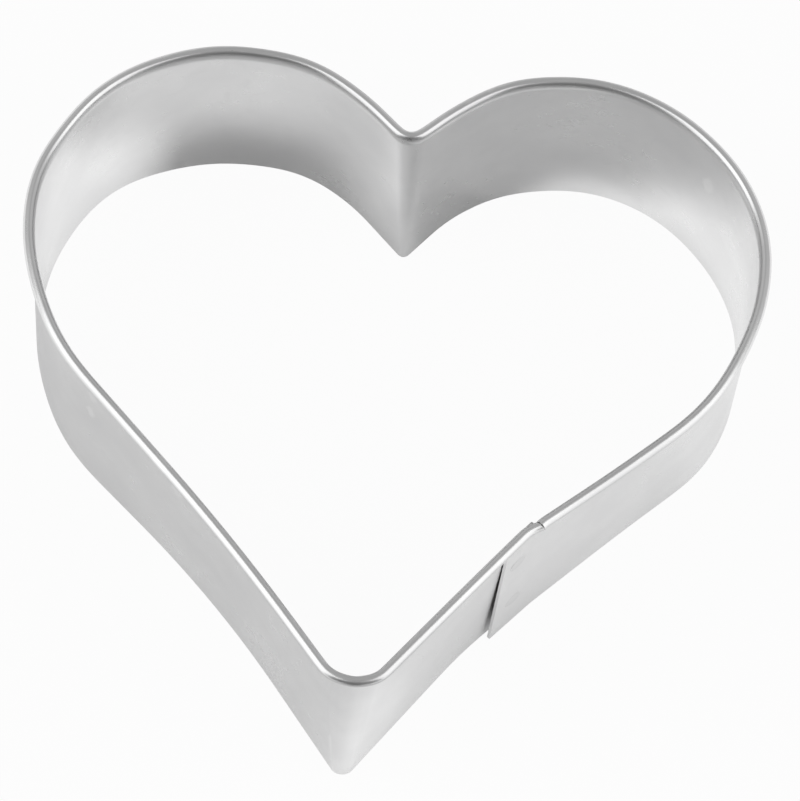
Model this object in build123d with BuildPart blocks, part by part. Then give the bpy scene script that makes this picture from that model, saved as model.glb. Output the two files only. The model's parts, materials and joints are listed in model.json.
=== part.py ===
from build123d import *
import os
from math import copysign, radians, tan

# Heart-shaped cutter bent from one strip of thin tinned steel. The upper edge of the strip is
# rolled outward into a bead, the lower edge is left thin for cutting. The two ends of the strip
# lap on the lower right flank, where two spot welds hold them. +Z is up, +Y points from the tip
# of the heart to its notch, and the cutting edge stands on Z = 0. Sizes are in millimetres.

# Sheet and heart
sheet = 0.3
height = 20.0
cut_width = 60.0
cut_length = 54.2

# Rolled bead along the upper edge
bead_radius = 0.52
bead_turn = 285.0

# Bends of the inner face at the tip and at the notch, each along the bead and the cutting edge
rim_tip_bend = 3.0
edge_tip_bend = 0.8
bead_crest_bend = 1.1
edge_notch_bend = 0.6

# Lap on the lower right flank: the free end, called the tongue, lies outside and has no bead. A
# small round relief is cut into its upper edge where the bead ends.
lap_clearance = 0.1
bead_gap = 0.12
tongue_lead = 0.5
rim_tongue_length = 3.4
edge_tongue_length = 4.3
rim_stand_off = -0.05
edge_stand_off = 0.27
tongue_drop = 0.06
tongue_corner = 0.6
relief_radius = 0.4
relief_setback = 0.05

# Spot welds through both layers of the lap
weld_radius = 0.9
weld_mark = 0.02
weld_setback = 1.9
weld_height_shares = (0.28, 0.72)

# Share of a run that a rounded corner may use on its own side
corner_reach_share = 0.48

# Corners of the heart's inner face as shares of half its width and half its length, from the
# covered end of the strip round the tip, the left lobe, the notch and the right lobe to the right
# flank. The strip is bent by hand, so the two halves and the two edges differ.
rim_shares = [
    (0.438, -0.439),
    (0.302, -0.631),
    (0.000, -1.066),
    (-0.367, -0.587),
    (-0.899, 0.000),
    (-1.000, 0.298),
    (-1.000, 0.545),
    (-0.843, 0.858),
    (-0.562, 1.002),
    (-0.302, 0.983),
    (-0.155, 0.893),
    (0.006, 0.736),
    (0.152, 0.887),
    (0.287, 0.982),
    (0.522, 1.017),
    (0.745, 0.932),
    (0.918, 0.755),
    (1.000, 0.555),
    (1.000, 0.323),
    (0.899, 0.013),
    (0.661, -0.237),
]
edge_shares = [
    (0.440, -0.418),
    (0.298, -0.579),
    (-0.007, -1.055),
    (-0.391, -0.516),
    (-0.881, -0.032),
    (-0.984, 0.274),
    (-0.976, 0.545),
    (-0.838, 0.842),
    (-0.550, 0.972),
    (-0.302, 0.965),
    (-0.152, 0.880),
    (0.022, 0.694),
    (0.148, 0.862),
    (0.292, 0.959),
    (0.525, 1.004),
    (0.742, 0.924),
    (0.905, 0.747),
    (0.990, 0.548),
    (0.977, 0.268),
    (0.911, 0.083),
    (0.690, -0.155),
]

# Both lists hold the tip, which is the lowest corner, and the notch, which is the corner nearest
# the middle line in the upper half, at the same places
tip_corner = rim_shares.index(min(rim_shares, key=lambda share: share[1]))
upper_shares = [share for share in rim_shares if share[1] > 0]
notch_corner = rim_shares.index(min(upper_shares, key=lambda share: abs(share[0])))

rim_level = height - bead_radius
rim_notch_bend = bead_crest_bend + 2 * bead_radius
tongue_level = height - 2 * bead_radius - tongue_drop


def heart_path(shares, tongue_length, stand_off, tip_bend, notch_bend):
    """The inner face's corners as far as the bead goes, their bends, and the tongue's free end."""
    corners = [Vector(x * cut_width / 2, y * cut_length / 2) for x, y in shares]
    along = (corners[0] - corners[1]).normalized()
    outward = along.rotate(Axis.Z, -90)
    bead_end = corners[0] + along * bead_gap + outward * (sheet + lap_clearance)
    lead = (along * tongue_length - outward * stand_off).normalized()
    corners += [bead_end + lead * tongue_lead, bead_end]
    return corners, bend_radii(corners, tip_bend, notch_bend), bead_end - lead * tongue_length


def bend_radii(corners, tip_bend, notch_bend):
    """Named bends at the tip and the notch, and the widest that fits at every other corner."""
    radii = []
    for before, corner, after in zip(corners, corners[1:], corners[2:]):
        arriving = corner - before
        leaving = after - corner
        half_turn = radians(arriving.get_angle(leaving)) / 2
        radii.append(corner_reach_share * min(arriving.length, leaving.length) / tan(half_turn))
    radii[tip_corner - 1] = tip_bend
    radii[notch_corner - 1] = notch_bend
    return radii


def outer_face(corners, bends):
    """The corners and bends of the outer face, one thickness of sheet outside the inner face."""
    runs = [(after - before).normalized() for before, after in zip(corners, corners[1:])]
    sides = [run.rotate(Axis.Z, 90) for run in runs]
    moved = [corners[0] + sides[0] * sheet]
    for corner, side, next_side in zip(corners[1:], sides, sides[1:]):
        moved.append(corner + (side + next_side) * (sheet / (1 + side.dot(next_side))))
    moved.append(corners[-1] + sides[-1] * sheet)
    turns = [run.dot(next_side) for run, next_side in zip(runs, sides[1:])]
    return moved, [bend + copysign(sheet, turn) for bend, turn in zip(bends, turns)]


rim, rim_bends, rim_tongue_end = heart_path(
    rim_shares, rim_tongue_length, rim_stand_off, rim_tip_bend, rim_notch_bend
)
edge, edge_bends, edge_tongue_end = heart_path(
    edge_shares, edge_tongue_length, edge_stand_off, edge_tip_bend, edge_notch_bend
)

# Wall: a thin profile on the cutting edge and one under the bead, joined by straight lines
with BuildPart() as wall:
    for level, corners, bends in ((0, edge, edge_bends), (rim_level, rim, rim_bends)):
        with BuildSketch(Plane.XY.offset(level)):
            with BuildLine():
                inner = FilletPolyline(*corners, radius=bends)
                outer_corners, outer_bends = outer_face(corners, bends)
                outer = FilletPolyline(*outer_corners, radius=outer_bends)
                Line(inner @ 0, outer @ 0)
                Line(inner @ 1, outer @ 1)
            make_face()
    loft(ruled=True)

# Tongue: the wall's last run goes straight on past the bead's end, outside the covered end. It is
# cut down to pass under that end's bead, and has a round relief beside its own
with BuildPart() as tongue:
    for level, start, end in ((0, edge[-1], edge_tongue_end), (rim_level, rim[-1], rim_tongue_end)):
        step = (end - start).normalized().rotate(Axis.Z, 90) * sheet
        with BuildSketch(Plane.XY.offset(level)):
            with BuildLine():
                Polyline(start, end, end + step, start + step, close=True)
            make_face()
    loft(ruled=True)
    split(bisect_by=Plane.XY.offset(tongue_level), keep=Keep.BOTTOM)
    free_corner = tongue.edges().filter_by(Plane.XY).group_by(Axis.Z)[-1].sort_by(Axis.X)[0]
    fillet(free_corner, radius=tongue_corner)
    share = tongue_level / rim_level
    start = edge[-1] * (1 - share) + rim[-1] * share
    along = (edge_tongue_end * (1 - share) + rim_tongue_end * share - start).normalized()
    centre = start + along * (relief_setback + relief_radius) + Vector(0, 0, tongue_level)
    with BuildSketch(Plane(centre, x_dir=along, z_dir=along.rotate(Axis.Z, 90)).offset(-sheet)):
        Circle(relief_radius)
    extrude(amount=3 * sheet, mode=Mode.SUBTRACT)

# Bead: the strip rolls over and outward round a small circle, and its lip stops short of the wall
with BuildPart() as bead:
    with BuildLine() as bead_path:
        FilletPolyline(*[corner + Vector(0, 0, rim_level) for corner in rim], radius=rim_bends)
    start = bead_path.line @ 0
    heading = bead_path.line % 0
    with BuildSketch(Plane(start, x_dir=heading.rotate(Axis.Z, 90), z_dir=heading)):
        with BuildLine():
            outer = CenterArc((bead_radius, 0), bead_radius, 180, -bead_turn)
            inner = CenterArc((bead_radius, 0), bead_radius - sheet, 180, -bead_turn)
            Line(outer @ 0, inner @ 0)
            Line(outer @ 1, inner @ 1)
        make_face()
    sweep()

# Spot welds: round slugs along the lap, each square to the two layers and as long as they are
# thick there, with a faint mark left standing on both faces
slugs = []
for share in weld_height_shares:
    corner = edge[0] * (1 - share) + rim[0] * share
    bend = edge[1] * (1 - share) + rim[1] * share
    along = (corner - bend).normalized()
    outward = along.rotate(Axis.Z, -90)
    foot = corner - along * weld_setback - outward * weld_mark + Vector(0, 0, share * rim_level)
    stand_off = edge_stand_off * (1 - share) + rim_stand_off * share
    tongue_length = edge_tongue_length * (1 - share) + rim_tongue_length * share
    opened = stand_off * (bead_gap + weld_setback) / tongue_length
    slug_length = 2 * sheet + lap_clearance + opened + 2 * weld_mark
    slugs.append((Plane(foot, x_dir=along, z_dir=outward), slug_length))

with BuildPart() as spot_welds:
    for slug, slug_length in slugs:
        with BuildSketch(slug):
            Circle(weld_radius)
        extrude(amount=slug_length)

# Strip: wall, tongue and bead are one piece of sheet, pierced where the welds have melted it
with BuildPart() as heart_strip:
    add(wall.part)
    add(tongue.part)
    add(bead.part)
    for slug, slug_length in slugs:
        with BuildSketch(slug.offset(-sheet)):
            Circle(weld_radius)
        extrude(amount=slug_length + 2 * sheet, mode=Mode.SUBTRACT)

heart_strip.part.label = "heart_strip"
spot_welds.part.label = "spot_welds"

os.makedirs("parts", exist_ok=True)
export_step(heart_strip.part, "parts/heart_strip.step")
export_step(spot_welds.part, "parts/spot_welds.step")

box = heart_strip.part.bounding_box()
print("strip", round(heart_strip.part.volume, 2), "mm3 in", len(heart_strip.part.solids()), "solid")
print("box", box.min, box.max)
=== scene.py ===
# %% [markdown]
# # A heart-shaped cookie cutter, dressed for rendering
# The real cutter is one strip of bright tinned steel, 0.3 mm thick and 20 mm high. Its upper edge
# is rolled outward into a bead, so that a hand can press on it, and its lower edge is left thin to
# cut dough. The strip is bent into a heart, and its two ends lap on the lower right flank.
#
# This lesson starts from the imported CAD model. It swaps the faceted CAD strip for one smooth swept
# mesh of the same size, gives it a tinplate finish made of nodes, and sets up the studio.

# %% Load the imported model
import json
import math
import bmesh
import bpy
import numpy as np
from mathutils import Matrix, Vector, noise

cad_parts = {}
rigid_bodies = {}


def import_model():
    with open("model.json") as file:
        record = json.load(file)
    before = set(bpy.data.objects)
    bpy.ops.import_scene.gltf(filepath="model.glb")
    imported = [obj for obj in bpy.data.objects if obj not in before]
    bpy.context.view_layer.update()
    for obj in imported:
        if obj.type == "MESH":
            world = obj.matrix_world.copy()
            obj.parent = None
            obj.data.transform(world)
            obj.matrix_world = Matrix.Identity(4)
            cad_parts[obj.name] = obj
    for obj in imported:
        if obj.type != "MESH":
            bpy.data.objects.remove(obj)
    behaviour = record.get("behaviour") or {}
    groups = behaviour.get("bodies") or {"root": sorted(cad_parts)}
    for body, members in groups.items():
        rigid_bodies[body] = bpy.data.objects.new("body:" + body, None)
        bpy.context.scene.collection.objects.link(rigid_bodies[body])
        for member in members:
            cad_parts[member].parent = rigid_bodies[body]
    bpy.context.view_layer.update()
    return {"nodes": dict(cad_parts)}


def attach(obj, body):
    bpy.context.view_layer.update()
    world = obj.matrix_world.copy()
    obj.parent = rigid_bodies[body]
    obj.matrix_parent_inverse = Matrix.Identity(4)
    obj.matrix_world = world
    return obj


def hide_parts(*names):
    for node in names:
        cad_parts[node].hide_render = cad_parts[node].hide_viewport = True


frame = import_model()
print("nodes in the frame:", sorted(frame["nodes"]))

# %% [markdown]
# ## Sizes of the strip
# Everything is worked out in millimetres, as a tinsmith would, and turned into metres only when the
# mesh is made. The shares are corners of the heart's inner face, as parts of half its width and
# half its length. One list follows the bead and one the cutting edge, because the hand that bent
# the strip didn't leave the two quite alike.

# %% Sizes, in millimetres
MM = 0.001
SHEET = 0.3
HEIGHT = 20.0
CUT_WIDTH = 60.0
CUT_LENGTH = 54.2
BEAD_RADIUS = 0.52
BEAD_TURN = math.radians(285)
BEAD_ROOT_DEPTH = 0.95
RIM_LEVEL = HEIGHT - BEAD_RADIUS
ROOT_LEVEL = HEIGHT - BEAD_ROOT_DEPTH

RIM_TIP_BEND = 3.0
EDGE_TIP_BEND = 0.8
BEAD_CREST_BEND = 1.1
RIM_NOTCH_BEND = BEAD_CREST_BEND + 2 * BEAD_RADIUS
EDGE_NOTCH_BEND = 0.6
CORNER_REACH = 0.48

LAP_CLEARANCE = 0.1
BEAD_GAP = 0.12
TONGUE_LEAD = 0.5
RIM_TONGUE_LENGTH = 3.4
EDGE_TONGUE_LENGTH = 4.3
RIM_STAND_OFF = -0.08
EDGE_STAND_OFF = 0.27
TONGUE_DROP = 0.06
TONGUE_LEVEL = HEIGHT - 2 * BEAD_RADIUS - TONGUE_DROP
TONGUE_CORNER = 0.6
RELIEF_RADIUS = 0.4
RELIEF_SETBACK = 0.05

WELD_RADIUS = 0.9
WELD_SETBACK = 1.9
WELD_HEIGHT_SHARES = (0.28, 0.72)
print("the strip is", HEIGHT, "mm high and its bead", 2 * BEAD_RADIUS, "mm thick")

# %% Corners of the heart
RIM_SHARES = [
    (0.438, -0.439), (0.302, -0.631), (0.000, -1.066), (-0.367, -0.587), (-0.899, 0.000),
    (-1.000, 0.298), (-1.000, 0.545), (-0.843, 0.858), (-0.562, 1.002), (-0.302, 0.983),
    (-0.155, 0.893), (0.006, 0.736), (0.152, 0.887), (0.287, 0.982), (0.522, 1.017),
    (0.745, 0.932), (0.918, 0.755), (1.000, 0.555), (1.000, 0.323), (0.899, 0.013),
    (0.661, -0.237),
]
EDGE_SHARES = [
    (0.440, -0.418), (0.298, -0.579), (-0.007, -1.055), (-0.391, -0.516), (-0.881, -0.032),
    (-0.984, 0.274), (-0.976, 0.545), (-0.838, 0.842), (-0.550, 0.972), (-0.302, 0.965),
    (-0.152, 0.880), (0.022, 0.694), (0.148, 0.862), (0.292, 0.959), (0.525, 1.004),
    (0.742, 0.924), (0.905, 0.747), (0.990, 0.548), (0.977, 0.268), (0.911, 0.083),
    (0.690, -0.155),
]
TIP = 2
NOTCH = 11
print(len(RIM_SHARES), "corners on the bead,", len(EDGE_SHARES), "on the cutting edge")

# %% [markdown]
# ## From corners to a bent line
# A sheet never turns a sharp corner. Each corner becomes a round bend that starts and ends a little
# way along the straight runs beside it, the way a former would bend it.


# %% Corners and bends of one line
def left_of(direction):
    """The direction a quarter turn to the left, which is outward here."""
    return Vector((-direction.y, direction.x))


def heart_corners(shares, tongue_length, stand_off):
    """The inner face's corners as far as the bead goes, and the tongue's free end."""
    corners = [Vector((x * CUT_WIDTH / 2, y * CUT_LENGTH / 2)) for x, y in shares]
    along = (corners[0] - corners[1]).normalized()
    outward = -left_of(along)
    bead_end = corners[0] + along * BEAD_GAP + outward * (SHEET + LAP_CLEARANCE)
    lead = (along * tongue_length - outward * stand_off).normalized()
    corners += [bead_end + lead * TONGUE_LEAD, bead_end]
    return corners, bead_end - lead * tongue_length


def bend_radii(corners, tip_bend, notch_bend):
    """Named bends at the tip and the notch, the widest that fits at every other corner."""
    radii = []
    for before, corner, after in zip(corners, corners[1:], corners[2:]):
        arriving = corner - before
        leaving = after - corner
        half_turn = arriving.angle(leaving) / 2
        radii.append(CORNER_REACH * min(arriving.length, leaving.length) / math.tan(half_turn))
    radii[TIP - 1] = tip_bend
    radii[NOTCH - 1] = notch_bend
    return radii


# %% [markdown]
# ## The tip's bend in three parts
# The press that bent the tip gripped the sheet beside the bend and left a slight crease on either
# side. One bend in the middle of two small ones makes them. The three turn as much as the one bend
# did. Along the bead they are nearly one round, and along the cutting edge the outer two are tight.

# %% A bend made of three
RIM_TIP_TURNS = (math.radians(24), math.radians(24))
RIM_TIP_BENDS = (2.2, 3.2, 2.6)
EDGE_TIP_TURNS = (math.radians(8), math.radians(16))
EDGE_TIP_BENDS = (0.1, 0.85, 0.15)


def compound_bend(corners, radii, place, side_turns, bends):
    """One bend as three: a slight one on either side, and the rest of the turn between them."""
    corner = corners[place]
    arriving = (corner - corners[place - 1]).normalized()
    leaving = (corners[place + 1] - corner).normalized()
    turn = arriving.angle(leaving)
    inward = (leaving - arriving * math.cos(turn)).normalized()
    made = []
    point = Vector((0, 0))
    heading = arriving
    turned = 0
    for angle, bend in zip((side_turns[0], turn - sum(side_turns), side_turns[1]), bends):
        reach = bend * math.tan(angle / 2)
        made.append(point + heading * reach)
        turned += angle
        heading = arriving * math.cos(turned) + inward * math.sin(turned)
        point = made[-1] + heading * reach
    after = point.dot(inward) / math.sin(turn)
    start = corner - arriving * (point.dot(arriving) - after * math.cos(turn))
    corners = corners[:place] + [start + point for point in made] + corners[place + 1 :]
    return corners, radii[: place - 1] + list(bends) + radii[place:]


# %% [markdown]
# ## Stations along the lines
# Both lines are cut into the same number of stations, so that station 40 of the bead stands over
# station 40 of the cutting edge. The bead is cut first, about every third of a millimetre, and its
# counts are used again for the cutting edge.

# %% Stations along one line
STEP = 0.34
SHORTEST_RUN = 0.01
FEWEST_ON_RUN = 2
FEWEST_ON_BEND = 6


def bent_line(corners, radii, counts=None):
    """Points along the runs and bends, with the same counts as an earlier line where given."""
    points = []
    made = []
    start = corners[0]
    for place, radius in enumerate(radii):
        corner = corners[place + 1]
        arriving = (corner - corners[place]).normalized()
        leaving = (corners[place + 2] - corner).normalized()
        turn = arriving.angle_signed(leaving)
        reach = radius * math.tan(abs(turn) / 2)
        bend_start = corner - arriving * reach
        side = math.copysign(1, -turn)
        centre = bend_start + left_of(arriving) * side * radius
        run_length = (bend_start - start).length
        on_run = max(FEWEST_ON_RUN, round(run_length / STEP)) if run_length > SHORTEST_RUN else 0
        pair = (on_run, max(FEWEST_ON_BEND, round(radius * abs(turn) / STEP)))
        pair = counts[place] if counts else pair
        made.append(pair)
        points += [start.lerp(bend_start, k / pair[0]) for k in range(pair[0])]
        spoke = bend_start - centre
        for k in range(pair[1]):
            angle = -turn * k / pair[1]
            c, s = math.cos(angle), math.sin(angle)
            points.append(centre + Vector((c * spoke.x - s * spoke.y, s * spoke.x + c * spoke.y)))
        start = corner + leaving * reach
    last = max(FEWEST_ON_RUN, round((corners[-1] - start).length / STEP))
    last = counts[-1][0] if counts else last
    made.append((last, 0))
    points += [start.lerp(corners[-1], k / last) for k in range(last + 1)]
    return np.array([tuple(point) for point in points]), made


# %% Cut both lines into stations
rim_corners, rim_tongue_end = heart_corners(RIM_SHARES, RIM_TONGUE_LENGTH, RIM_STAND_OFF)
edge_corners, edge_tongue_end = heart_corners(EDGE_SHARES, EDGE_TONGUE_LENGTH, EDGE_STAND_OFF)
rim_radii = bend_radii(rim_corners, RIM_TIP_BEND, RIM_NOTCH_BEND)
edge_radii = bend_radii(edge_corners, EDGE_TIP_BEND, EDGE_NOTCH_BEND)
rim_corners, rim_radii = compound_bend(
    rim_corners, rim_radii, TIP, RIM_TIP_TURNS, RIM_TIP_BENDS
)
edge_corners, edge_radii = compound_bend(
    edge_corners, edge_radii, TIP, EDGE_TIP_TURNS, EDGE_TIP_BENDS
)
rim_line, counts = bent_line(rim_corners, rim_radii)
edge_line, counts = bent_line(edge_corners, edge_radii, counts)
print("stations on the bead and on the edge:", len(rim_line), len(edge_line))

# %% [markdown]
# ## Ease the line as sheet metal does
# Arcs joined to straight runs look fine in outline, but bright metal shows every jump in curvature
# as a break in its reflections. Real sheet eases from one bend into the next. A soft moving average
# along the line does the same. It is narrow beside the tight bends of the tip and the notch, which
# stay crisp, and wide along the lobes and the flanks.

# %% Ease each line
WIDEST_EASE = 1.7
EASE_PER_BEND_RADIUS = 0.16
EASE_GROWTH = 0.22
EASE_AT_END = 0.02
EASE_GROWTH_FROM_END = 0.3


def lengths_along(line):
    """How far along the line each station is."""
    return np.concatenate([[0], np.cumsum(np.linalg.norm(np.diff(line, axis=0), axis=1))])


def eased(line, tight_bends):
    """The line with its curvature evened out, and its size kept by one correction."""
    s = lengths_along(line)
    width = np.full(len(s), WIDEST_EASE)
    for corner, radius in tight_bends:
        middle = s[np.argmin(np.linalg.norm(line - np.array(corner), axis=1))]
        limit = EASE_PER_BEND_RADIUS * radius + EASE_GROWTH * np.abs(s - middle)
        width = np.minimum(width, limit)
    to_end = np.minimum(s, s[-1] - s)
    width = np.minimum(width, EASE_AT_END + EASE_GROWTH_FROM_END * to_end)
    weight = np.exp(-((s[:, None] - s[None, :]) ** 2) / (2 * width[:, None] ** 2))
    weight *= np.gradient(s)[None, :]
    weight /= weight.sum(axis=1, keepdims=True)
    once = weight @ line
    return once + weight @ (line - once)


TIGHT_BENDS = (TIP, TIP + 1, TIP + 2, NOTCH + 2)
rim_tight = [(rim_corners[place], rim_radii[place - 1]) for place in TIGHT_BENDS]
edge_tight = [(edge_corners[place], edge_radii[place - 1]) for place in TIGHT_BENDS]
rim_eased = eased(rim_line, rim_tight)
edge_eased = eased(edge_line, edge_tight)
print("most moved, mm:", round(float(np.abs(rim_eased - rim_line).max()), 3))

# %% [markdown]
# ## Which way is outward
# The sheet has two faces. The inner face lies on the line, and the outer face stands one thickness
# away from it, square to the line. The tongue, the free end that laps over the other one, simply
# runs on in a straight line past the end of the bead.


# %% Outward directions and the tongue's stations
def outward_of(line):
    """Unit vectors square to the line, on its left."""
    along = np.gradient(line, lengths_along(line), axis=0)
    along /= np.linalg.norm(along, axis=1, keepdims=True)
    return np.stack([-along[:, 1], along[:, 0]], axis=1)


TONGUE_STATIONS = 60


def tongue_line(start, end):
    """Even stations from the bead's end to the tongue's free end."""
    share = np.linspace(0, 1, TONGUE_STATIONS + 1)[1:, None]
    return np.array(start) * (1 - share) + np.array(end) * share


rim_all = np.concatenate([rim_eased, tongue_line(rim_corners[-1], rim_tongue_end)])
edge_all = np.concatenate([edge_eased, tongue_line(edge_corners[-1], edge_tongue_end)])
rim_out = outward_of(rim_all)
edge_out = outward_of(edge_all)
BEADED = len(rim_eased)
run_length = lengths_along(rim_all)
print("length of the strip, mm:", round(float(run_length[-1]), 1))

# %% [markdown]
# ## Levels up the sheet
# Across its width the sheet is a ribbon with two faces. It stands straight from the cutting edge
# to the bead, then leans into a roll that turns over and outward, and its lip stops just short of
# the wall. A level says how high a point of the straight part is, or how far round the roll it is.

# %% Levels of the wall and of the roll
WALL_STEPS = 28
low_levels = list(np.linspace(0, TONGUE_LEVEL, WALL_STEPS + 1))
WALL_LEVELS = np.array(low_levels + [(TONGUE_LEVEL + ROOT_LEVEL) / 2, ROOT_LEVEL])
TONGUE_TOP = len(low_levels) - 1
ROLL_STEPS = 38
ROLL_ANGLES = math.pi - BEAD_TURN * np.arange(1, ROLL_STEPS + 1) / ROLL_STEPS
print(len(WALL_LEVELS), "levels on the wall and", ROLL_STEPS, "round the bead")

# %% [markdown]
# ## Small faults of a hand-bent wall
# A wall this thin is never quite flat. It has long shallow waves, left by the rollers, and a few
# small dents from handling. They are far less than a tenth of a millimetre deep, but bright metal
# shows them. Each dent is a place on the outer face, with a depth and a size. The lap and the bead
# stay free of them.

# %% Waves and dents of the wall
WAVE_DEPTH = 0.028
WAVE_LENGTH = 13.0
WAVE_HEIGHT = 1.6 * WAVE_LENGTH
WAVE_SEED = 3.7
QUIET_AFTER_START = 8.0
QUIET_BEFORE_END = 14.0
QUIET_FADE = 8.0
QUIET_UNDER_BEAD = 5.0
DENTS = [
    # distance along the strip, height, depth, half length, half height
    (38.0, 7.0, 0.030, 1.6, 1.1),
    (47.5, 4.6, -0.022, 1.3, 0.9),
    (52.0, 8.2, 0.026, 1.0, 1.4),
    (31.5, 2.8, 0.034, 1.1, 0.8),
]


def wall_fault(s, z):
    """How far the wall stands out at this place, in millimetres."""
    point = Vector((s / WAVE_LENGTH, z / WAVE_HEIGHT, WAVE_SEED))
    out = WAVE_DEPTH * noise.noise(point)
    for at, height, depth, half_length, half_height in DENTS:
        out += depth * math.exp(-(((s - at) / half_length) ** 2) - ((z - height) / half_height) ** 2)
    after_start = max(0, (s - QUIET_AFTER_START) / QUIET_FADE)
    before_end = max(0, (run_length[-1] - QUIET_BEFORE_END - s) / QUIET_FADE)
    under_bead = min(1, (RIM_LEVEL - z) / QUIET_UNDER_BEAD)
    return out * min(1, after_start, before_end) * under_bead


print(len(DENTS), "dents, and waves of at most", WAVE_DEPTH, "mm")

# %% [markdown]
# ## The two ends of the strip
# The tongue has a round relief beside the end of its bead, so that the sheet didn't tear there when
# it was rolled, and its free corner is rounded. The other end keeps its bead, and that was knocked
# outward until it met the first one. These are three small formulas of the place along the strip.

# %% Shape of the two ends
NOSE_LENGTH = 1.5
NOSE_SHIFT = 0.38
CORNER_DEPTH = 3.0


def tongue_top(s):
    """The tongue's upper edge: a round relief beside the bead's end, and a round free corner."""
    from_bead = s - run_length[BEADED - 1]
    inset = abs(from_bead - RELIEF_SETBACK - RELIEF_RADIUS) / RELIEF_RADIUS
    relief = RELIEF_RADIUS * math.sqrt(max(0, 1 - inset**2))
    inset = max(0, 1 - (run_length[-1] - s) / TONGUE_CORNER)
    return TONGUE_LEVEL - relief - TONGUE_CORNER * (1 - math.sqrt(max(0, 1 - inset**2)))


def nose_shift(s, level):
    """How far the covered end's bead is knocked outward, to meet the other bead's end."""
    near_end = max(0, 1 - s / NOSE_LENGTH)
    above_tongue = min(1, max(0, (level - TONGUE_LEVEL) / (RIM_LEVEL - TONGUE_LEVEL)))
    return NOSE_SHIFT * near_end**2 * above_tongue


def roll_rise(radius, angle):
    """Centre and upright radius at this angle: the wall leans into the roll along a longer curve."""
    if angle > math.pi / 2:
        return ROOT_LEVEL, radius + RIM_LEVEL - ROOT_LEVEL
    return RIM_LEVEL, radius


# %% [markdown]
# ## Sweep the ribbon round the heart
# For every station there is one row of points on the face that starts inside, and one on the face
# that starts outside. Joining neighbours in both directions gives two skins. The cutting edge, the
# lip and the two ends close them, so the strip is one watertight sheet of real thickness.


# %% Points of one station
def station_points(i):
    """Rows of points of the inner and the outer skin at station i, in metres."""
    tongue = i >= BEADED
    top = tongue_top(run_length[i]) if tongue else TONGUE_LEVEL
    skins = ([], [])
    for level in WALL_LEVELS[: TONGUE_TOP + 1] if tongue else WALL_LEVELS:
        share = level / RIM_LEVEL
        inner = edge_all[i] * (1 - share) + rim_all[i] * share
        out = edge_out[i] * (1 - share) + rim_out[i] * share
        fault = wall_fault(run_length[i], level) + nose_shift(run_length[i], level)
        bend_down = max(0, (level - TONGUE_LEVEL + CORNER_DEPTH) / CORNER_DEPTH)
        z = level - bend_down * (TONGUE_LEVEL - top)
        for skin, offset in zip(skins, (fault, SHEET + fault)):
            skin.append((*(inner + out * offset), z))
    if not tongue:
        for angle in ROLL_ANGLES:
            for skin, radius in zip(skins, (BEAD_RADIUS, BEAD_RADIUS - SHEET)):
                centre, rise = roll_rise(radius, angle)
                z = centre + rise * math.sin(angle)
                share = min(1, z / RIM_LEVEL)
                inner = edge_all[i] * (1 - share) + rim_all[i] * share
                reach = BEAD_RADIUS + radius * math.cos(angle)
                reach += nose_shift(run_length[i], RIM_LEVEL)
                skin.append((*(inner + rim_out[i] * reach), z))
    return [[Vector(point) * MM for point in skin] for skin in skins]


# %% Turn finished faces into an object
def finished_piece(mesh, name):
    """An object of this name from the mesh, linked into the scene."""
    data = bpy.data.meshes.new(name)
    mesh.to_mesh(data)
    mesh.free()
    piece = bpy.data.objects.new(name, data)
    bpy.context.scene.collection.objects.link(piece)
    return piece


# %% Skin the strip
def join_rows(mesh, first, second, flip):
    """Quads between two rows of vertices, facing one way or the other."""
    faces = []
    for a, b, c, d in zip(first, second, second[1:], first[1:]):
        corners = (a, b, c, d) if flip else (d, c, b, a)
        faces.append(mesh.faces.new(corners))
    return faces


def swept_strip(name):
    """The whole strip as one closed mesh."""
    mesh = bmesh.new()
    map_layer = mesh.loops.layers.uv.new("Sheet")
    rows = []
    place = {}
    for i in range(len(rim_all)):
        skins = []
        for skin in station_points(i):
            made = [mesh.verts.new(point) for point in skin]
            skins.append(made)
            for j, vert in enumerate(made):
                above = max(0, j - len(WALL_LEVELS) + 1) * BEAD_TURN * BEAD_RADIUS / ROLL_STEPS
                height = WALL_LEVELS[min(j, len(WALL_LEVELS) - 1)] + above
                place[vert] = (run_length[i] * MM, height * MM)
        rows.append(skins)
    for before, after in zip(rows, rows[1:]):
        levels = min(len(before[0]), len(after[0]))
        join_rows(mesh, before[0][:levels], after[0][:levels], True)
        join_rows(mesh, before[1][:levels], after[1][:levels], False)
        for level, turned in ((0, False), (levels - 1, True)):
            across = [before[0][level], before[1][level], after[1][level], after[0][level]]
            mesh.faces.new(across if turned else across[::-1])
    for end, turned in ((rows[0], False), (rows[-1], True)):
        join_rows(mesh, end[0], end[1], turned)
    step = rows[BEADED - 1]
    join_rows(mesh, step[0][TONGUE_TOP:], step[1][TONGUE_TOP:], True)
    for face in mesh.faces:
        for loop in face.loops:
            loop[map_layer].uv = place[loop.vert]
    bmesh.ops.recalc_face_normals(mesh, faces=mesh.faces)
    return finished_piece(mesh, name)


strip = swept_strip("tinplate_heart")
print("strip:", len(strip.data.vertices), "points,", len(strip.data.polygons), "faces")

# %% [markdown]
# ## Break the sheared edges
# The strip was sheared from a wider sheet, so its edges are square but not razor sharp. A narrow
# bevel on every edge that turns more than 40 degrees catches a thin line of light there, as the
# real edges do. Everything else is shaded smooth.

# %% Bevel the sheared edges
EDGE_BREAK = 0.045 * MM
EDGE_SEGMENTS = 2
SHARP_ANGLE = math.radians(40)


def shade_smooth(piece):
    """Smooth shading over the whole piece."""
    piece.data.polygons.foreach_set("use_smooth", [True] * len(piece.data.polygons))
    piece.data.update()


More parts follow.
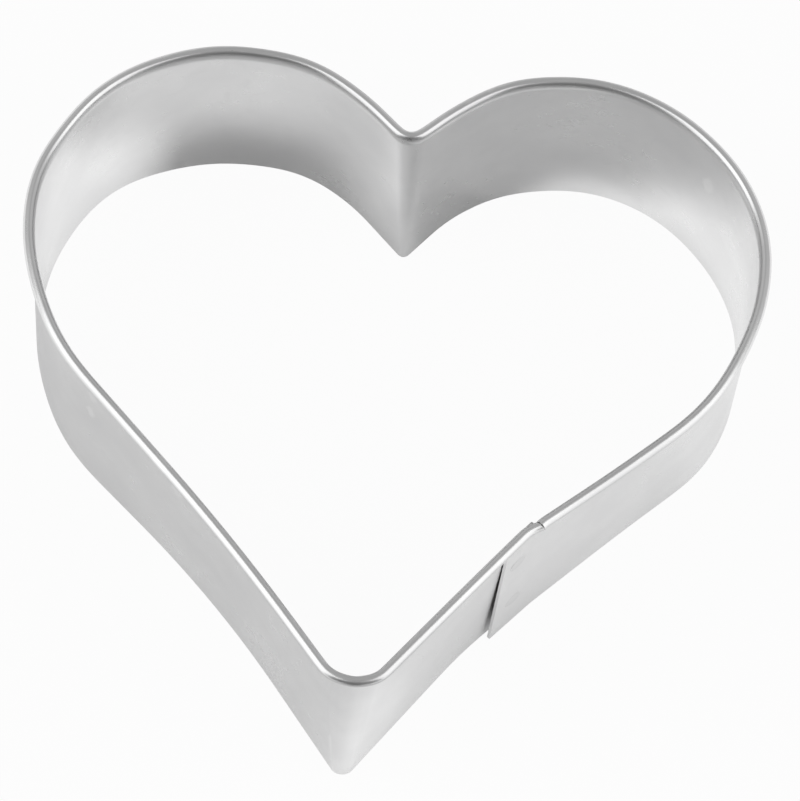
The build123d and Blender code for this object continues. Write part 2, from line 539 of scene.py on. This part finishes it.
def soften_edges(piece, width):
    """A narrow bevel along the piece's sharp edges, kept as real geometry."""
    bevel = piece.modifiers.new("broken edges", "BEVEL")
    bevel.width = width
    bevel.segments = EDGE_SEGMENTS
    bevel.limit_method = "ANGLE"
    bevel.angle_limit = SHARP_ANGLE
    bevel.harden_normals = True
    shade_smooth(piece)
    graph = bpy.context.evaluated_depsgraph_get()
    finished = bpy.data.meshes.new_from_object(piece.evaluated_get(graph))
    piece.modifiers.clear()
    piece.data = finished


soften_edges(strip, EDGE_BREAK)
print("with broken edges:", len(strip.data.polygons), "faces")

# %% [markdown]
# ## Spot welds
# A spot welder pinches the two layers between copper tips and leaves a round mark on each face: a
# flat, very slightly sunken middle inside a low soft ring. Each mark is turned like a button, as a
# ring of circles round the weld's axis, and the two buttons of one weld are joined by its slug.

# %% Turn one weld from its profile
WELD_PROFILE = [
    # share of the radius, height over the face in millimetres
    (0.00, 0.004), (0.35, 0.005), (0.60, 0.009), (0.76, 0.018), (0.88, 0.020), (0.96, 0.012),
    (1.00, -0.010),
]
WELD_SIDES = 48


def weld_axis(share):
    """The foot of the weld on the inner face, its outward direction and the lap's thickness."""
    rim = [Vector(rim_corners[k]) for k in (0, 1)]
    edge = [Vector(edge_corners[k]) for k in (0, 1)]
    corner = edge[0].lerp(rim[0], share)
    along = (corner - edge[1].lerp(rim[1], share)).normalized()
    foot = corner - along * WELD_SETBACK
    stand_off = EDGE_STAND_OFF * (1 - share) + RIM_STAND_OFF * share
    tongue_length = EDGE_TONGUE_LENGTH * (1 - share) + RIM_TONGUE_LENGTH * share
    opened = stand_off * (BEAD_GAP + WELD_SETBACK) / tongue_length
    outward = -left_of(along)
    thickness = 2 * SHEET + LAP_CLEARANCE + opened
    return Vector((*foot, share * RIM_LEVEL)), Vector((*outward, 0)), thickness


def turned_welds(name):
    """Both welds as one mesh, each a closed turned body with a mark on either face."""
    mesh = bmesh.new()
    for share in WELD_HEIGHT_SHARES:
        foot, outward, thickness = weld_axis(share)
        sideways = outward.cross(Vector((0, 0, 1)))
        profile = [(r * WELD_RADIUS, -h) for r, h in WELD_PROFILE]
        profile += [(r * WELD_RADIUS, thickness + h) for r, h in reversed(WELD_PROFILE)]
        rings = []
        for radius, depth in profile:
            if radius == 0:
                rings.append([mesh.verts.new((foot + outward * depth) * MM)])
                continue
            ring = []
            for k in range(WELD_SIDES):
                angle = 2 * math.pi * k / WELD_SIDES
                arm = sideways * math.cos(angle) + Vector((0, 0, math.sin(angle)))
                ring.append(mesh.verts.new((foot + outward * depth + arm * radius) * MM))
            rings.append(ring)
        for first, second in zip(rings, rings[1:]):
            for k in range(WELD_SIDES):
                n = (k + 1) % WELD_SIDES
                if len(first) == 1:
                    mesh.faces.new((first[0], second[k], second[n]))
                elif len(second) == 1:
                    mesh.faces.new((first[k], second[0], first[n]))
                else:
                    mesh.faces.new((first[k], second[k], second[n], first[n]))
    bmesh.ops.recalc_face_normals(mesh, faces=mesh.faces)
    piece = finished_piece(mesh, name)
    shade_smooth(piece)
    return piece


welds = turned_welds("weld_marks")
print("welds:", len(welds.data.polygons), "faces")

# %% [markdown]
# ## Put the new pieces in place of CAD nodes
# Both new pieces take the place of a CAD node of the same size, on the root body. The CAD nodes
# stay in the scene for the simulator, hidden.

# %% Tie the pieces to the frame
for piece, node, slot in (
    (strip, "heart_strip", "tinned_sheet"),
    (welds, "spot_welds", "weld_metal"),
):
    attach(piece, "root")
    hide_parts(node)
print("pieces on the root body:", strip.name, welds.name)

# %% [markdown]
# ## Effects shared by the finishes
# Tinplate is steel sheet with a thin coat of tin, rolled bright. Up close it has a very fine grain
# along the strip, a cloudy unevenness where the tin is a little duller, and faint rub marks. Both
# the strip and the weld marks need these, so each effect is a node group with its own inputs. A few
# helpers keep the groups short to write.


# %% Helpers for node groups
def new_group(name, inputs, outputs):
    """An empty shader node group with these sockets. Each input has a name, a type and a value."""
    group = bpy.data.node_groups.new(name, "ShaderNodeTree")
    for label, kind, value in inputs:
        socket = group.interface.new_socket(label, in_out="INPUT", socket_type=kind)
        if value is not None:
            socket.default_value = value
    for label, kind in outputs:
        group.interface.new_socket(label, in_out="OUTPUT", socket_type=kind)
    return group, group.nodes.new("NodeGroupInput"), group.nodes.new("NodeGroupOutput")


def add_node(tree, kind, **settings):
    """A new node with some of its settings made."""
    node = tree.nodes.new(kind)
    for key, value in settings.items():
        setattr(node, key, value)
    return node


def math_node(tree, operation, first, second):
    """One sum on two sockets or numbers, and its result."""
    node = add_node(tree, "ShaderNodeMath", operation=operation)
    for socket, value in zip(node.inputs, (first, second)):
        if isinstance(value, (int, float)):
            socket.default_value = value
        else:
            tree.links.new(value, socket)
    return node.outputs[0]


def map_range(tree, value, low, high, to_low, to_high):
    """A value from one range put on another, held at its ends."""
    node = add_node(tree, "ShaderNodeMapRange")
    tree.links.new(value, node.inputs["Value"])
    ends = {"From Min": low, "From Max": high, "To Min": to_low, "To Max": to_high}
    for label, number in ends.items():
        node.inputs[label].default_value = number
    return node.outputs[0]


# %% [markdown]
# ## Clouds in the tin
# The tin lies a little thicker here and thinner there, which shows as slow clouds and as a finer
# mottle. Two noise textures give both. They are measured in metres on the object, so the sizes
# are how many clouds there are to a metre.


# %% Group: clouded tin
def clouded_tin_group():
    """A slow cloudy mask and a finer mottle, both about one half."""
    sockets = [("Cloud Size", "NodeSocketFloat", 90.0), ("Mottle Size", "NodeSocketFloat", 900.0)]
    group, given, result = new_group(
        "clouded tin", sockets, [("Cloud", "NodeSocketFloat"), ("Mottle", "NodeSocketFloat")]
    )
    where = add_node(group, "ShaderNodeTexCoord")
    for size, output, detail in (("Cloud Size", "Cloud", 3.0), ("Mottle Size", "Mottle", 4.0)):
        pattern = add_node(group, "ShaderNodeTexNoise")
        pattern.inputs["Detail"].default_value = detail
        pattern.inputs["Roughness"].default_value = 0.55
        group.links.new(where.outputs["Object"], pattern.inputs["Vector"])
        group.links.new(given.outputs[size], pattern.inputs["Scale"])
        group.links.new(pattern.outputs["Fac"], result.inputs[output])
    return group


clouded_tin = clouded_tin_group()
print("group:", clouded_tin.name)


# %% [markdown]
# ## The grain of rolled sheet
# The mill's rollers leave hair-fine lines along the strip. A noise texture squeezed in one
# direction makes them. It runs on the strip's own map, so that the lines follow the strip round
# every bend instead of cutting across it.


# %% Group: rolled grain
def rolled_grain_group():
    """Fine streaks along the strip, from the mill's rollers."""
    sockets = [("Streaks Per Metre", "NodeSocketFloat", 5200.0), ("Stretch", "NodeSocketFloat", 0.03)]
    group, given, result = new_group("rolled grain", sockets, [("Grain", "NodeSocketFloat")])
    sheet = add_node(group, "ShaderNodeUVMap", uv_map="Sheet")
    apart = add_node(group, "ShaderNodeSeparateXYZ")
    again = add_node(group, "ShaderNodeCombineXYZ")
    group.links.new(sheet.outputs["UV"], apart.inputs[0])
    stretched = math_node(group, "MULTIPLY", apart.outputs["X"], given.outputs["Stretch"])
    group.links.new(stretched, again.inputs["X"])
    group.links.new(apart.outputs["Y"], again.inputs["Y"])
    streaks = add_node(group, "ShaderNodeTexNoise")
    streaks.inputs["Detail"].default_value = 5.0
    streaks.inputs["Roughness"].default_value = 0.65
    group.links.new(again.outputs[0], streaks.inputs["Vector"])
    group.links.new(given.outputs["Streaks Per Metre"], streaks.inputs["Scale"])
    group.links.new(streaks.outputs["Fac"], result.inputs["Grain"])
    return group


rolled_grain = rolled_grain_group()
print("group:", rolled_grain.name)


# %% [markdown]
# ## Marks of handling
# A cutter that has been picked up and stacked has a few short rubs and tiny specks. Only the
# highest parts of a noise texture count as a rub, and only the middles of scattered cells as a
# speck, so both stay sparse.

# %% Group: handled metal
RUB_RANGE = (0.56, 0.70)
SPECK_RANGE = (0.10, 0.04)


def handled_metal_group():
    """Sparse short rub marks and specks, one where the metal is marked and nought elsewhere."""
    sockets = [("Rub Size", "NodeSocketFloat", 520.0), ("Speck Size", "NodeSocketFloat", 1400.0)]
    group, given, result = new_group(
        "handled metal", sockets, [("Rubs", "NodeSocketFloat"), ("Specks", "NodeSocketFloat")]
    )
    where = add_node(group, "ShaderNodeTexCoord")
    rub = add_node(group, "ShaderNodeTexNoise")
    rub.inputs["Detail"].default_value = 3.0
    rub.inputs["Distortion"].default_value = 0.8
    speck = add_node(group, "ShaderNodeTexVoronoi", feature="F1")
    ramps = []
    for low, high in (RUB_RANGE, SPECK_RANGE):
        ramp = add_node(group, "ShaderNodeMapRange")
        ramp.inputs["From Min"].default_value = low
        ramp.inputs["From Max"].default_value = high
        ramps.append(ramp)
    for texture, size in ((rub, "Rub Size"), (speck, "Speck Size")):
        group.links.new(where.outputs["Object"], texture.inputs["Vector"])
        group.links.new(given.outputs[size], texture.inputs["Scale"])
    group.links.new(rub.outputs["Fac"], ramps[0].inputs["Value"])
    group.links.new(speck.outputs["Distance"], ramps[1].inputs["Value"])
    group.links.new(ramps[0].outputs[0], result.inputs["Rubs"])
    group.links.new(ramps[1].outputs[0], result.inputs["Specks"])
    return group


handled_metal = handled_metal_group()
print("group:", handled_metal.name)


# %% [markdown]
# ## Worn edges
# Edges are rubbed brighter than the flat of the sheet. The renderer knows how pointed the mesh is
# at each place, and a range of that pointedness picks out the bevels.


# %% Group: worn edge
def worn_edge_group():
    """One on edges that turn sharply, from the bevel's own pointiness, and nought on the flat."""
    sockets = [("From", "NodeSocketFloat", 0.53), ("To", "NodeSocketFloat", 0.62)]
    group, given, result = new_group("worn edge", sockets, [("Edge", "NodeSocketFloat")])
    shape = add_node(group, "ShaderNodeNewGeometry")
    ramp = add_node(group, "ShaderNodeMapRange")
    group.links.new(shape.outputs["Pointiness"], ramp.inputs["Value"])
    group.links.new(given.outputs["From"], ramp.inputs["From Min"])
    group.links.new(given.outputs["To"], ramp.inputs["From Max"])
    group.links.new(ramp.outputs[0], result.inputs["Edge"])
    return group


worn_edge = worn_edge_group()
print("group:", worn_edge.name)

# %% [markdown]
# ## The tinplate finish
# Tin is a near-white metal, so the base colour is a light neutral grey and Metallic is one. The
# groups shift the colour by a few parts in a hundred, make the duller clouds a little rougher, and
# put the grain into a very shallow bump. The weld marks take the same groups with values of their
# own: a little darker and duller, and with no grain, because the copper tips pressed it flat.

# %% Material of the sheet and of the welds
CLOUD_RANGE = (0.35, 0.65)
RUB_STRENGTH = 0.45
SPECK_STRENGTH = 0.5
MOTTLE_RELIEF = 0.5
GRAIN_ROUGHNESS = 0.03


def mixed_colour(tree, factor, first, second):
    """A colour between two others, by a factor."""
    mix = add_node(tree, "ShaderNodeMix", data_type="RGBA")
    tree.links.new(factor, mix.inputs["Factor"])
    for socket, value in ((mix.inputs["A"], first), (mix.inputs["B"], second)):
        if isinstance(value, tuple):
            socket.default_value = (*value, 1.0)
        else:
            tree.links.new(value, socket)
    return mix.outputs["Result"]


def bright_metal(name, light, dull, worn, smoothest, roughest, grain_bump, with_grain):
    """A bright metal with clouds, rubs, specks, edge wear and, on sheet, the mill's grain."""
    material = bpy.data.materials.new(name)
    material.use_nodes = True
    tree = material.node_tree
    shader = tree.nodes["Principled BSDF"]
    shader.inputs["Metallic"].default_value = 1.0
    clouds = add_node(tree, "ShaderNodeGroup", node_tree=clouded_tin)
    marks = add_node(tree, "ShaderNodeGroup", node_tree=handled_metal)
    edges = add_node(tree, "ShaderNodeGroup", node_tree=worn_edge)
    cloud, mottle = clouds.outputs["Cloud"], clouds.outputs["Mottle"]
    tint = mixed_colour(tree, map_range(tree, cloud, *CLOUD_RANGE, 0.0, 1.0), light, dull)
    rubbed = math_node(tree, "MULTIPLY", marks.outputs["Rubs"], RUB_STRENGTH)
    tint = mixed_colour(tree, rubbed, tint, dull)
    specked = math_node(tree, "MULTIPLY", marks.outputs["Specks"], SPECK_STRENGTH)
    tint = mixed_colour(tree, specked, tint, dull)
    tint = mixed_colour(tree, edges.outputs["Edge"], tint, worn)
    tree.links.new(tint, shader.inputs["Base Color"])
    spread = roughest - smoothest
    rough = math_node(tree, "MULTIPLY", math_node(tree, "ADD", cloud, mottle), spread / 2)
    rough = math_node(tree, "ADD", rough, smoothest)
    height = math_node(tree, "MULTIPLY", mottle, MOTTLE_RELIEF)
    if with_grain:
        grain = add_node(tree, "ShaderNodeGroup", node_tree=rolled_grain).outputs["Grain"]
        height = math_node(tree, "ADD", height, grain)
        streaky = math_node(tree, "MULTIPLY", grain, GRAIN_ROUGHNESS)
        rough = math_node(tree, "ADD", rough, streaky)
    tree.links.new(rough, shader.inputs["Roughness"])
    bump = add_node(tree, "ShaderNodeBump")
    bump.inputs["Strength"].default_value = 1.0
    bump.inputs["Distance"].default_value = grain_bump
    tree.links.new(height, bump.inputs["Height"])
    tree.links.new(bump.outputs["Normal"], shader.inputs["Normal"])
    return material


# %% Make both materials
tinplate = bright_metal(
    "bright tinplate", (0.865, 0.865, 0.865), (0.795, 0.795, 0.797), (0.89, 0.89, 0.89),
    0.22, 0.32, 0.0000012, True,
)
weld_skin = bright_metal(
    "pinched tin", (0.82, 0.82, 0.82), (0.74, 0.74, 0.742), (0.86, 0.86, 0.86),
    0.24, 0.36, 0.0000016, False,
)
for piece, material in ((strip, tinplate), (welds, weld_skin)):
    piece.data.materials.clear()
    piece.data.materials.append(material)
print("materials:", tinplate.name, weld_skin.name)

# %% [markdown]
# ## The camera
# The photograph was taken with a long lens, from above and in front of the tip, and the cutter lies
# a little turned in it. The camera's place, the spot on the table that it looks at and its tilt
# sideways were solved from the outline of the heart.

# %% Camera
CAMERA_PLACE = Vector((-2.17, -282.28, 668.23)) * MM
CAMERA_AIM = Vector((1.59, 5.84, 0)) * MM
CAMERA_TILT = math.radians(6.48)
PHOTO_LONG_SIDE = 801
FOCAL_PIXELS = 8600
SENSOR_WIDTH = 36.0
NEAREST_SEEN = 0.05
FURTHEST_SEEN = 20.0

camera_data = bpy.data.cameras.new("long lens")
camera_data.sensor_width = SENSOR_WIDTH
camera_data.lens = FOCAL_PIXELS * SENSOR_WIDTH / PHOTO_LONG_SIDE
camera_data.clip_start = NEAREST_SEEN
camera_data.clip_end = FURTHEST_SEEN
camera = bpy.data.objects.new("camera", camera_data)
bpy.context.scene.collection.objects.link(camera)
aimed = (CAMERA_PLACE - CAMERA_AIM).to_track_quat("Z", "Y").to_matrix().to_4x4()
tilted = Matrix.Rotation(CAMERA_TILT, 4, "Z")
camera.matrix_world = Matrix.Translation(CAMERA_PLACE) @ aimed @ tilted
bpy.context.scene.camera = camera
print("lens:", round(camera_data.lens, 1), "mm")

# %% [markdown]
# ## The floor
# The cutter stands on a plain white table. To the camera the table is lifted close to white, which
# needs no more light on the cutter, and it keeps a soft trace of the shadow. To the metal it is the
# table with painted shade, which darkens it far off toward the front of the room.

# %% Sizes and whites of the table
FLOOR_HALF = 3.0
FLOOR_WHITE = 0.88
FLOOR_ROUGHNESS = 0.9
CAMERA_LIFT = 0.95
TABLE_NEAR = 0.06
TABLE_FAR = 0.20
TABLE_DARKEST = 0.9
FRONT_FROM = -0.55
FRONT_TO = -0.88


def painted_table_shade(tree, position, distance, glossy):
    """How much painted shade the table has here, for the metal alone: far off, and only in front."""
    fade = map_range(tree, distance, TABLE_NEAR, TABLE_FAR, 0.0, TABLE_DARKEST)
    frontness = math_node(tree, "DIVIDE", position.outputs["Y"], distance)
    in_front = map_range(tree, frontness, FRONT_FROM, FRONT_TO, 0.0, 1.0)
    fade = math_node(tree, "MULTIPLY", fade, in_front)
    return math_node(tree, "MULTIPLY", fade, glossy)


# %% [markdown]
# ## Painted light and shade on the table
# A bright wall shows whatever lies before it, and most of that is the strip of table at its own
# foot. Each patch here is a soft oval of painted light on the table that only glossy rays see, so
# it shows in the metal as a painted reflection. A negative one is painted shade, which takes some of
# its neighbours' brightness away. The ovals were placed one by one. Most of the brightnesses
# started from a least-squares fit of the walls' greys to the photograph's.

# %% Painted light and shade on the table
PAINTED_LIGHT_AND_SHADE = [
    # x, y, half length, half width in millimetres, angle in degrees, brightness of the painted light
    # (below nought, painted shade)
    (-21, -11, 36, 11, -50, 0.36),
    (21, -9, 36, 12, 52, 0.66),
    (6, -29, 7, 7, 0, 0.36),
    (-14.5, 25.3, 9.5, 3.8, 0, -0.36),
    (-13, 17, 9, 8, 0, 0.62),
    (-25.5, 19, 8.5, 6.5, 65, 1.02),
    (26.5, 20.3, 11, 6.2, -60, 1.25),
    (29, 6, 7, 5, -80, 0.20),
    (-3, 14, 6, 9, 0, 0.24),
    (10, 20, 9, 6, 10, 0.19),
    (17, 28, 8, 3, 0, 0.85),
    (4.5, 23, 3, 3, 0, -0.25),
    (11, -13, 6, 2.6, 52, -0.15),
]


def painted_light_and_shade_at(tree, place, painted_patch):
    """How much painted light or shade of one patch the metal sees here: one in its middle, fading to
    nought outside.
    """
    x, y, half_length, half_width, angle, brightness = painted_patch
    turned = add_node(tree, "ShaderNodeMapping", vector_type="TEXTURE")
    turned.inputs["Location"].default_value = (x * MM, y * MM, 0)
    turned.inputs["Rotation"].default_value = (0, 0, math.radians(angle))
    turned.inputs["Scale"].default_value = (half_length * MM, half_width * MM, 1)
    tree.links.new(place, turned.inputs["Vector"])
    squared = add_node(tree, "ShaderNodeVectorMath", operation="DOT_PRODUCT")
    for socket in squared.inputs[:2]:
        tree.links.new(turned.outputs[0], socket)
    edge = math_node(tree, "POWER", squared.outputs["Value"], 2.0)
    inside = math_node(tree, "EXPONENT", math_node(tree, "MULTIPLY", edge, -1.0), 0.0)
    return math_node(tree, "MULTIPLY", inside, brightness)


# the count of the patches of painted light and painted shade
print(len(PAINTED_LIGHT_AND_SHADE), "soft cards")

# %% [markdown]
# ## What the metal sees of the table
# Beyond the cutter on both sides the table has painted light, for the lamps hang over it. Right
# under a wall, within a few millimetres, it has painted shade, a little darker where the cutter
# itself keeps the light off, and an ambient occlusion node measures that.

# %% Brightness of the table for the metal
SIDE_NEAR = 0.033
SIDE_FAR = 0.052
SIDE_LIFT = 0.85
CONTACT_REACH = 0.004
CONTACT_SAMPLES = 6
CONTACT_SHADE = 0.75
CONTACT_OPENNESS = (0.5, 0.85)


def mirrored_light(tree, place, position, glossy):
    """Painted light of the patches and of both sides of the table, with painted shade close to the
    walls.
    """
    light = painted_light_and_shade_at(tree, place, PAINTED_LIGHT_AND_SHADE[0])
    for painted_patch in PAINTED_LIGHT_AND_SHADE[1:]:
        light = math_node(tree, "ADD", light, painted_light_and_shade_at(tree, place, painted_patch))
    sideways = math_node(tree, "ABSOLUTE", position.outputs["X"], 0.0)
    side = map_range(tree, sideways, SIDE_NEAR, SIDE_FAR, 0.0, SIDE_LIFT)
    light = map_range(tree, math_node(tree, "ADD", light, side), 0.0, 1.0, 0.0, 1.0)
    open_sky = add_node(tree, "ShaderNodeAmbientOcclusion", samples=CONTACT_SAMPLES)
    open_sky.inputs["Distance"].default_value = CONTACT_REACH
    contact = map_range(tree, open_sky.outputs["AO"], *CONTACT_OPENNESS, CONTACT_SHADE, 1.0)
    light = math_node(tree, "MULTIPLY", light, contact)
    return math_node(tree, "MULTIPLY", light, glossy)


# %% [markdown]
# ## The table's material
# The plain white finish takes the shadows. A white emission is mixed over it: by the camera's lift
# where the camera or a see-through ray looks, and by the mirrored light where the metal looks.


# %% Material of the table
def white_table():
    """A white finish, lifted toward white for the camera and shaped by painted light and shade for
    the metal.
    """
    material = bpy.data.materials.new("white table")
    material.use_nodes = True
    tree = material.node_tree
    shader = tree.nodes["Principled BSDF"]
    shader.inputs["Roughness"].default_value = FLOOR_ROUGHNESS
    shader.inputs["Specular IOR Level"].default_value = 0.0
    path = add_node(tree, "ShaderNodeLightPath")
    glossy = path.outputs["Is Glossy Ray"]
    place = add_node(tree, "ShaderNodeNewGeometry").outputs["Position"]
    length = add_node(tree, "ShaderNodeVectorMath", operation="LENGTH")
    tree.links.new(place, length.inputs[0])
    position = add_node(tree, "ShaderNodeSeparateXYZ")
    tree.links.new(place, position.inputs[0])
    dim = painted_table_shade(tree, position, length.outputs["Value"], glossy)
    colour = mixed_colour(tree, dim, (FLOOR_WHITE,) * 3, (0.0, 0.0, 0.0))
    tree.links.new(colour, shader.inputs["Base Color"])
    white = add_node(tree, "ShaderNodeEmission")
    white.inputs["Strength"].default_value = 1.0
    through = path.outputs["Is Transmission Ray"]
    seen = math_node(tree, "MAXIMUM", path.outputs["Is Camera Ray"], through)
    lift = math_node(tree, "MULTIPLY", seen, CAMERA_LIFT)
    lift = math_node(tree, "MAXIMUM", lift, mirrored_light(tree, place, position, glossy))
    mix = add_node(tree, "ShaderNodeMixShader")
    tree.links.new(lift, mix.inputs[0])
    tree.links.new(shader.outputs[0], mix.inputs[1])
    tree.links.new(white.outputs[0], mix.inputs[2])
    tree.links.new(mix.outputs[0], tree.nodes["Material Output"].inputs["Surface"])
    return material


# %% Lay the table
def pale_floor():
    """A large plane at the cutter's foot."""
    mesh = bmesh.new()
    corners = [(-1, -1), (1, -1), (1, 1), (-1, 1)]
    mesh.faces.new([mesh.verts.new((x * FLOOR_HALF, y * FLOOR_HALF, 0)) for x, y in corners])
    return finished_piece(mesh, "floor")


floor = pale_floor()
floor.data.materials.append(white_table())
print("floor:", 2 * FLOOR_HALF, "m wide")

# %% [markdown]
# ## The light
# Two wide soft boxes hang left and right of the camera, a little in front of the cutter, and give
# the bead its two bright lines. Between them is a dark gap, with the camera in it.


# %% Soft boxes and world
def soft_box(name, place, size, strength):
    """A square area lamp that faces the cutter. The strength is how bright its face looks."""
    lamp = bpy.data.lights.new(name, "AREA")
    lamp.shape = "RECTANGLE"
    lamp.size, lamp.size_y = size
    lamp.energy = strength * math.pi * size[0] * size[1]
    box = bpy.data.objects.new(name, lamp)
    box.location = place
    box.rotation_euler = Vector(place).to_track_quat("Z", "Y").to_euler()
    bpy.context.scene.collection.objects.link(box)
    return box


SOFT_BOXES = [
    ("left soft box", (-0.96, -0.43, 0.74), (1.12, 1.80), 0.98),
    ("right soft box", (1.03, -0.40, 0.68), (1.06, 1.70), 0.88),
]
for name, place, size, strength in SOFT_BOXES:
    soft_box(name, place, size, strength)
print(len(SOFT_BOXES), "soft boxes")

# %% [markdown]
# ## The room
# The room round the table is a mid grey behind the cutter and dim in front of it, and dimmer still
# along the middle, over the gap between the soft boxes. That gives the bead its dark line at the
# tip and on top of both lobes. To the camera the room is white.

# %% World
ROOM_BEHIND = 0.48
ROOM_IN_FRONT = 0.17
ROOM_TURNS_DIM = (-0.90, 0.20)
OVERHEAD_SHARE = 0.74
OVERHEAD_SPAN = (0.02, 0.30)
world = bpy.data.worlds.new("studio")
bpy.context.scene.world = world
world.use_nodes = True
sky = world.node_tree
background = sky.nodes["Background"]
background.inputs["Color"].default_value = (1, 1, 1, 1)
facing = add_node(sky, "ShaderNodeTexCoord")
apart = add_node(sky, "ShaderNodeSeparateXYZ")
sky.links.new(facing.outputs["Generated"], apart.inputs[0])
level = map_range(sky, apart.outputs["Y"], *ROOM_TURNS_DIM, ROOM_IN_FRONT, ROOM_BEHIND)
sideways = math_node(sky, "ABSOLUTE", apart.outputs["X"], 0.0)
overhead = map_range(sky, sideways, *OVERHEAD_SPAN, OVERHEAD_SHARE, 1.0)
level = math_node(sky, "MULTIPLY", level, overhead)
path = add_node(sky, "ShaderNodeLightPath")
level = math_node(sky, "MAXIMUM", level, path.outputs["Is Camera Ray"])
sky.links.new(level, background.inputs["Strength"])
bpy.context.scene.view_settings.view_transform = "Standard"
print("room:", ROOM_BEHIND, "behind the cutter and", ROOM_IN_FRONT, "in front of it")

# %% [markdown]
# ## The end of the scene
# The dressed cutter must fill the same box as the CAD model.

# %% End of the scene
print("scene built")
